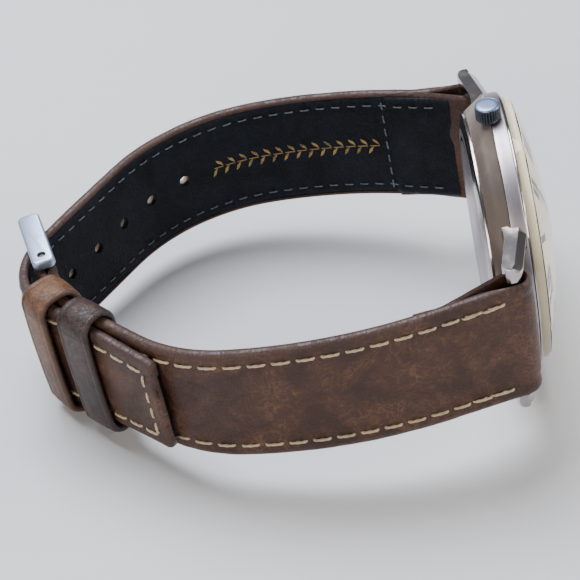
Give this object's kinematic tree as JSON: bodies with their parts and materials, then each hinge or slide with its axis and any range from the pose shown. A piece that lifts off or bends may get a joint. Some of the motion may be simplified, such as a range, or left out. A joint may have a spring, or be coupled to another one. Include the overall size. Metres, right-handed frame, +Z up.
{
  "type": "wristwatch",
  "caption": "Slim round dress watch with a domed crystal on a brown stitched leather strap, buckled shut and standing on its side with the crown up.",
  "frame": {"origin": "centre of the footprint, on the surface the watch stands on", "axes": "+X towards the side the dial faces, +Y towards the 6 o'clock strap, +Z up, towards the crown; the watch leans about Y so that case rim and buckle both touch down"},
  "size_m": [0.0702, 0.0534, 0.0381],
  "materials": {
    "polished_steel": "polished",
    "satin_steel": "satin",
    "buckle_steel": "brushed",
    "acrylic": "clear",
    "dial_cream": "matte",
    "hand_black": "gloss",
    "brass": "satin",
    "movement_plastic": "matte",
    "circuit_green": "matte",
    "copper_wire": "gloss",
    "black_rubber": "matte",
    "brown_leather": "grained",
    "tan_leather": "grained",
    "lining_leather": "fine grain",
    "cell_steel": "satin",
    "spring_steel": "satin"
  },
  "bodies": {
    "watch": {"mid_case": "satin_steel", "bezel": "polished_steel", "crystal": "acrylic", "crystal_gasket": "black_rubber", "dial": "dial_cream", "dial_feet": "brass", "case_back": "polished_steel", "back_gasket": "black_rubber", "crown_tube": "spring_steel", "movement_holder": "movement_plastic", "main_plate": "brass", "train_bridge": "brass", "movement_screws": "spring_steel", "circuit_board": "circuit_green", "board_washer": "spring_steel", "quartz_can": "cell_steel", "battery": "cell_steel", "battery_clip": "spring_steel", "stator": "spring_steel", "coil": "copper_wire", "near_strap_outer": "brown_leather", "near_strap_lining": "lining_leather", "far_strap_outer": "brown_leather", "far_strap_lining": "lining_leather", "fixed_keeper": "tan_leather", "bar_12_tube": "spring_steel", "bar_12_spring": "spring_steel", "bar_6_tube": "spring_steel", "bar_6_spring": "spring_steel", "buckle_bar_tube": "spring_steel", "buckle_bar_spring": "spring_steel"},
    "seconds": {"seconds_wheel": "brass", "second_hand": "hand_black"},
    "rotor": {"rotor": "spring_steel"},
    "intermediate": {"intermediate_wheel": "brass"},
    "third": {"third_wheel": "brass"},
    "minutes": {"centre_wheel": "brass", "minute_hand": "hand_black"},
    "motion_work": {"minute_wheel": "brass"},
    "hours": {"hour_wheel": "brass", "hour_hand": "hand_black"},
    "clutch": {"sliding_pinion": "spring_steel"},
    "crown": {"crown": "polished_steel", "stem": "spring_steel", "crown_gasket": "black_rubber"},
    "setting_lever": {"setting_lever": "spring_steel"},
    "keeper": {"free_keeper": "brown_leather"},
    "buckle": {"buckle_frame": "buckle_steel"},
    "tang": {"buckle_tang": "buckle_steel"},
    "bar_12_upper": {"bar_12_upper_pin": "spring_steel"},
    "bar_12_lower": {"bar_12_lower_pin": "spring_steel"},
    "bar_6_upper": {"bar_6_upper_pin": "spring_steel"},
    "bar_6_lower": {"bar_6_lower_pin": "spring_steel"},
    "buckle_bar_upper": {"buckle_bar_upper_pin": "spring_steel"},
    "buckle_bar_lower": {"buckle_bar_lower_pin": "spring_steel"}
  },
  "joints": [
    {"name": "hour_hand_turn", "type": "hinge", "parent": "watch", "child": "hours", "pos_m": [0.02915, -0.00019, 0.01792], "axis": [-0.9921, 0, -0.1258], "continuous": true},
    {"name": "minute_hand_turn", "type": "hinge", "parent": "watch", "child": "minutes", "pos_m": [0.02786, -0.00019, 0.01776], "axis": [-0.9921, 0, -0.1258], "continuous": true},
    {"name": "second_hand_turn", "type": "hinge", "parent": "watch", "child": "seconds", "pos_m": [0.02707, -0.00019, 0.01766], "axis": [-0.9921, 0, -0.1258], "continuous": true},
    {"name": "third_wheel_turn", "type": "hinge", "parent": "watch", "child": "third", "pos_m": [0.02747, 0.00253, 0.01771], "axis": [-0.9921, 0, -0.1258], "continuous": true},
    {"name": "intermediate_wheel_turn", "type": "hinge", "parent": "watch", "child": "intermediate", "pos_m": [0.02747, -0.00307, 0.01771], "axis": [-0.9921, 0, -0.1258], "continuous": true},
    {"name": "rotor_turn", "type": "hinge", "parent": "watch", "child": "rotor", "pos_m": [0.02809, -0.00412, 0.01595], "axis": [-0.9921, 0, -0.1258], "continuous": true},
    {"name": "minute_wheel_turn", "type": "hinge", "parent": "watch", "child": "motion_work", "pos_m": [0.02916, -0.00019, 0.0159], "axis": [-0.9921, 0, -0.1258], "continuous": true},
    {"name": "crown_turn", "type": "hinge", "parent": "watch", "child": "clutch", "pos_m": [0.0271, -0.00019, 0.02814], "axis": [-0.1258, 0, 0.9921], "continuous": true},
    {"name": "crown_pull", "type": "slide", "parent": "clutch", "child": "crown", "axis": [-0.1258, 0, 0.9921], "range_m": [0, 0.001]},
    {"name": "setting_lever_turn", "type": "hinge", "parent": "watch", "child": "setting_lever", "pos_m": [0.0262, -0.00279, 0.03005], "axis": [0.9921, 0, 0.1258], "range_deg": [0, 26.5]},
    {"name": "free_keeper_slide", "type": "slide", "parent": "watch", "child": "keeper", "axis": [0.7015, -0.7071, 0.0889], "range_m": [-0.0008, 0.004]},
    {"name": "buckle_pivot", "type": "hinge", "parent": "watch", "child": "buckle", "pos_m": [-0.03022, -0.00219, 0.01039], "axis": [-0.1258, 0, 0.9921], "range_deg": [-2, 1.5]},
    {"name": "tang_pivot", "type": "hinge", "parent": "watch", "child": "tang", "pos_m": [-0.03022, -0.00219, 0.01039], "axis": [-0.1258, 0, 0.9921], "range_deg": [-1, 3]},
    {"name": "bar_12_upper_press", "type": "slide", "parent": "watch", "child": "bar_12_upper", "axis": [0.1258, 0, -0.9921], "range_m": [0, 0.0012], "stiffness_N_per_m": 900},
    {"name": "bar_12_lower_press", "type": "slide", "parent": "watch", "child": "bar_12_lower", "axis": [-0.1258, 0, 0.9921], "range_m": [0, 0.0012], "stiffness_N_per_m": 900},
    {"name": "bar_6_upper_press", "type": "slide", "parent": "watch", "child": "bar_6_upper", "axis": [0.1258, 0, -0.9921], "range_m": [0, 0.0012], "stiffness_N_per_m": 900},
    {"name": "bar_6_lower_press", "type": "slide", "parent": "watch", "child": "bar_6_lower", "axis": [-0.1258, 0, 0.9921], "range_m": [0, 0.0012], "stiffness_N_per_m": 900},
    {"name": "buckle_bar_upper_press", "type": "slide", "parent": "watch", "child": "buckle_bar_upper", "axis": [0.1258, 0, -0.9921], "range_m": [0, 0.001], "stiffness_N_per_m": 900},
    {"name": "buckle_bar_lower_press", "type": "slide", "parent": "watch", "child": "buckle_bar_lower", "axis": [-0.1258, 0, 0.9921], "range_m": [0, 0.001], "stiffness_N_per_m": 900}
  ],
  "couplings": [
    {"joint": "minute_hand_turn", "follows": "second_hand_turn", "ratio": 0.016667},
    {"joint": "hour_hand_turn", "follows": "second_hand_turn", "ratio": 0.0013889},
    {"joint": "third_wheel_turn", "follows": "second_hand_turn", "ratio": -0.13333},
    {"joint": "intermediate_wheel_turn", "follows": "second_hand_turn", "ratio": -5},
    {"joint": "rotor_turn", "follows": "second_hand_turn", "ratio": 30},
    {"joint": "minute_wheel_turn", "follows": "second_hand_turn", "ratio": -0.0055556},
    {"joint": "setting_lever_turn", "follows": "crown_pull", "rad_per_m": 457.28}
  ]
}
